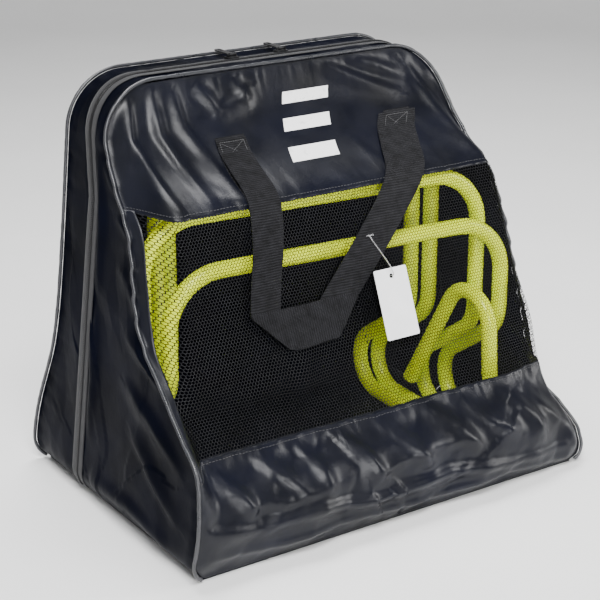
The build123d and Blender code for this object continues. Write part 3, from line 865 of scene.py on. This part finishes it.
def seam_stitches(name, z, drop):
    x = np.linspace(edge_x(z, -1) + 4 * MM, edge_x(z, 1) - 4 * MM, 500)
    zz = np.full(500, z + drop)
    low, high = front_point(x, zz, 0.0), front_point(x, zz, 1 * MM)
    stitch_row(name, low, (high - low) / MM, 4.2 * MM, 2.6 * MM, "front_cover")


seam_stitches("top_seam_stitches", TOP_SEAM_Z, 4 * MM)
seam_stitches("low_seam_stitches", LOW_SEAM_Z, -4 * MM)

# --- printed bars ------------------------------------------------------------
def printed_bars():
    """The plain bars of the CAD, cut finer and laid on the wrinkled cloth."""
    shape = bmesh.new()
    shape.from_mesh(nodes["emblem_print"].data)
    bmesh.ops.triangulate(shape, faces=shape.faces)
    for _ in range(4):
        long_edges = [e for e in shape.edges if e.calc_length() > 3.2 * MM]
        if long_edges:
            bmesh.ops.subdivide_edges(shape, edges=long_edges, cuts=1)
            bmesh.ops.triangulate(shape, faces=shape.faces)
    co = np.array([v.co for v in shape.verts])
    plain = sample(FRONT_FIELD, co[:, 0], co[:, 2])
    lift = np.where(plain - co[:, 1] > 0.15 * MM, 0.45, 0.12) * MM
    placed = front_point(co[:, 0], co[:, 2], lift)
    for vert, p in zip(shape.verts, placed):
        vert.co = p
    mesh = bpy.data.meshes.new("emblem_ink")
    shape.to_mesh(mesh)
    shape.free()
    obj = bpy.data.objects.new("emblem_ink", mesh)
    bpy.context.scene.collection.objects.link(obj)
    obj.data.materials.append(WHITE)
    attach(obj, "front_cover")
    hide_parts("emblem_print")


printed_bars()


# --- handles -----------------------------------------------------------------
TOP_STRAP_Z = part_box("front_handle")[1][2]
LOW_RUN_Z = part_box("front_handle")[0][2]
WEB_HALF = 19 * MM
RUN_TOP = LOW_RUN_Z + 38 * MM
STRAP_TOP = 405  # mm, where a strap's upper x is given
STRAP_DROP = 164  # mm further down, where its lower x is given
PATCH_Z = (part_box("front_handle_patches")[0][2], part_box("front_handle_patches")[1][2])


def hang_curve(node, toward):
    """The outer side of a handle against height, read from its CAD solid."""
    tree = tree_of([node])
    found = []
    for z in np.linspace(LOW_RUN_Z + 0.5 * MM, TOP_STRAP_Z - 0.5 * MM, 90):
        ys = []
        for x in np.linspace(-0.16, 0.18, 69):
            hit = tree.ray_cast(Vector((x, -0.4 * toward, z)), Vector((0, toward, 0)))[0]
            if hit is not None:
                ys.append(hit.y)
        if ys:
            found.append((z, min(ys) if toward > 0 else max(ys)))
    return np.array(found)


def strap_middle(strap, z):
    top, low = strap
    return (top + (low - top) * (STRAP_TOP - z / MM) / STRAP_DROP) * MM


def ribbon(name, points, uvs, body, stands_for, flip, thick=1.9):
    obj = grid_object(name, points, uvs, flip)
    thicken(obj, thick * MM)
    soft = obj.modifiers.new("edge", "BEVEL")
    soft.width = 0.4 * MM
    soft.segments = 2
    soft.limit_method = "ANGLE"
    obj.data.materials.append(WEB)
    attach(obj, body)
    if stands_for:
        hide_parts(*stands_for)


def web_strap(name, strap, ends, curve, way, body, surface, seed, stands_for):
    """One strap from its sewn top down to the folded corner. way is -1 in front and 1 behind."""
    rows = np.linspace(TOP_STRAP_Z + 4 * MM, LOW_RUN_Z + 20 * MM, 110)
    across = np.linspace(-1, 1, 15)[:, None]
    slope = (strap[0] - strap[1]) / STRAP_DROP
    reach = WEB_HALF * math.hypot(1, slope)
    x = strap_middle(strap, rows)[None, :] + across * reach
    cut = np.clip(RUN_TOP - rows, 0, None)[None, :]
    x = np.where(cut > 0, np.clip(x, ends[0] + cut + 0.6 * MM, ends[1] - cut - 0.6 * MM), x)
    z = np.broadcast_to(rows, x.shape)
    y = np.interp(rows, curve[:, 0], curve[:, 1])[None, :] - way * 1.0 * MM + 0 * x
    drop = TOP_STRAP_Z - rows
    wave = way * (noise(rows / 0.045, rows * 0, seed) * 1.5 * MM)[None, :] * smooth(drop, 0.01, 0.05)
    curl = -way * 1.3 * MM * across**2 * (0.6 + 0.4 * noise(rows / 0.03, rows * 0, seed + 3))[None, :]
    twist = way * across * (noise(rows / 0.07, rows * 0, seed + 6) * 2.2 * MM)[None, :]
    twist = twist * smooth(drop, 0.01, 0.06)
    y = y + wave + curl + twist
    sewn = smooth(rows, TOP_STRAP_Z - 22 * MM, TOP_STRAP_Z - 4 * MM)[None, :]
    y = y * (1 - sewn) + (surface(x, z) + way * 3.2 * MM) * sewn
    y = np.minimum(y, surface(x, z) - 2.6 * MM) if way < 0 else np.maximum(y, surface(x, z) + 2.6 * MM)
    gone = np.r_[0, np.cumsum(np.hypot(np.diff(rows), np.diff(y[7])))]
    uvs = np.stack([across * WEB_HALF + 0 * x, np.broadcast_to(gone, x.shape)], -1)
    ribbon(name, np.stack([x, y, z], -1), uvs, body, stands_for, way < 0)


def web_run(name, ends, curve, way, body, surface, seed):
    """The grip across the bottom, with its corners folded over at 45 degrees."""
    left, right = ends
    rows = np.linspace(RUN_TOP + 5 * MM, LOW_RUN_Z + 0.5 * MM, 21)[None, :]
    cut = np.clip(RUN_TOP - rows, 0, None)
    across = np.linspace(0, 1, 80)[:, None]
    x = left + cut + (right - left - 2 * cut) * across
    z = np.broadcast_to(rows, x.shape)
    sag = -1.6 * MM * np.sin(across * np.pi) + noise(across * 6, across * 0, seed) * 1.0 * MM
    y = np.interp(rows, curve[:, 0], curve[:, 1]) + way * 1.4 * MM + 0 * x
    y = y + way * noise(x / 0.05, z / 0.06, seed + 2) * 1.6 * MM
    middle = (rows - LOW_RUN_Z) / (2 * WEB_HALF) - 0.5
    y = y - way * 1.6 * MM * (4 * middle**2)
    y = np.minimum(y, surface(x, z) - 5.0 * MM) if way < 0 else np.maximum(y, surface(x, z) + 5.0 * MM)
    ribbon(name, np.stack([x, y, z + sag], -1), np.stack([z, x], -1), body, [], way < 0)


def patch(name, strap, way, body, surface, stands_for):
    rows = np.linspace(PATCH_Z[1], PATCH_Z[0], 26)[None, :]
    across = np.linspace(-1, 1, 15)[:, None]
    x = strap_middle(strap, rows) + across * WEB_HALF
    z = np.broadcast_to(rows, x.shape)
    y = surface(x, z) + way * 1.5 * MM
    uvs = np.stack([across * WEB_HALF + 0 * x, z], -1)
    ribbon(name, np.stack([x, y, z], -1), uvs, body, stands_for, way < 0, 1.2)


def sewn_box(name, strap, way, body, surface):
    """A stitched rectangle with a cross that holds the top of a strap."""
    low, high, half = TOP_STRAP_Z - 14 * MM, TOP_STRAP_Z + 1 * MM, WEB_HALF - 3.5 * MM
    corners = [(-half, low), (half, low), (half, high), (-half, high)]
    corners += [(-half, low), (half, high), (half, low), (-half, high)]
    run = np.concatenate([np.linspace(a, b, 24)[:-1] for a, b in zip(corners[:-1], corners[1:])])
    z = run[:, 1]
    x = run[:, 0] + strap_middle(strap, z)
    y = surface(x, z) + way * 3.4 * MM
    normals = np.tile((0.0, way, 0.0), (len(run), 1))
    stitch_row(name, np.stack([x, y, z], -1), normals, 2.9 * MM, 2.1 * MM, body)


def handle(side, straps, way, surface, cloth_body):
    hook = f"{side}_handle"
    curve = hang_curve(hook, -way)
    left, right = (strap_middle(strap, RUN_TOP) for strap in straps)
    ends = (left - WEB_HALF * 1.02, right + WEB_HALF * 1.3)
    for k, strap in enumerate(straps):
        label = ("left", "right")[k]
        handle_node, patch_node = ([hook], [f"{side}_handle_patches"]) if k == 0 else ([], [])
        web_strap(f"{side}_strap_{label}", strap, ends, curve, way, hook, surface, 201 + 20 * k, handle_node)
        patch(f"{side}_patch_{label}", strap, way, cloth_body, surface, patch_node)
        sewn_box(f"{side}_box_stitch_{label}", strap, way, hook, surface)
    web_run(f"{side}_grip_run", ends, curve, way, hook, surface, 251)


handle("front", [(-89, -121), (142, -24)], -1, front_y, "front_cover")
handle("back", [(-115, -64), (115, 64)], 1, back_y, "bag_back")


# --- floor, light, camera ----------------------------------------------------
def studio_floor():
    """A pale floor that curves up gently all round, like a studio sweep."""
    reach = np.linspace(0, 5.6, 57)[:, None]
    round_it = np.linspace(0, 2 * np.pi, 97)[None, :]
    x, y = reach * np.cos(round_it), reach * np.sin(round_it)
    z = -0.4 * MM + 0.35 * np.clip(reach - 2.8, 0, None) ** 2 + 0 * x
    obj = grid_object("studio_floor", np.stack([x, y, z], -1), np.stack([x, y], -1))
    paper = Paint("pale_floor", Roughness=0.75, Specular_IOR_Level=0.2)
    paper.colour(paper.noise(3, 3), [(0.3, (0.84, 0.84, 0.84)), (0.7, (0.87, 0.87, 0.87))])
    paper.bump(paper.noise(400, 2), 0.05 * MM, 0.2)
    obj.data.materials.append(paper.mat)


studio_floor()


def area_light(name, place, aim, size, power, tint=(1, 1, 1)):
    lamp = bpy.data.lights.new(name, "AREA")
    lamp.shape = "RECTANGLE"
    lamp.size, lamp.size_y = size
    lamp.energy = power
    lamp.color = tint
    obj = bpy.data.objects.new(name, lamp)
    obj.location = place
    obj.rotation_euler = (Vector(aim) - Vector(place)).to_track_quat("-Z", "Y").to_euler()
    bpy.context.scene.collection.objects.link(obj)


area_light("key", (-0.9, -1.3, 2.3), (0, 0, 0.25), (1.1, 0.9), 96)
area_light("left_strip", (-2.1, 0.2, 1.2), (0, 0, 0.25), (0.35, 1.2), 2.5, (0.94, 0.97, 1))
area_light("front_fill", (-0.7, -2.5, 0.9), (0, 0, 0.2), (0.8, 0.8), 44)
area_light("right_strip", (1.9, -1.1, 1.0), (0, 0, 0.22), (0.5, 1.4), 34, (1, 0.99, 0.97))
area_light("top", (0.1, 0.6, 2.4), (0, 0, 0.3), (1.4, 1.0), 70)

world = bpy.data.worlds.new("studio")
world.use_nodes = True
world.node_tree.nodes["Background"].inputs["Color"].default_value = (1, 1, 1, 1)
world.node_tree.nodes["Background"].inputs["Strength"].default_value = 0.20
bpy.context.scene.world = world

AZIMUTH, ELEVATION = math.radians(-34), math.radians(20.2)
TARGET = Vector((0, 0.024, 0.199))
DISTANCE = 1.97
level = math.cos(ELEVATION)
toward = Vector((math.sin(AZIMUTH) * level, -math.cos(AZIMUTH) * level, math.sin(ELEVATION)))
lens = bpy.data.cameras.new("photo_camera")
lens.lens = 100
lens.sensor_width = 36
camera = bpy.data.objects.new("photo_camera", lens)
camera.location = TARGET + toward * DISTANCE
camera.rotation_euler = (-toward).to_track_quat("-Z", "Y").to_euler()
bpy.context.scene.collection.objects.link(camera)
bpy.context.scene.camera = camera

# --- update ------------------------------------------------------------------
bpy.context.view_layer.update()
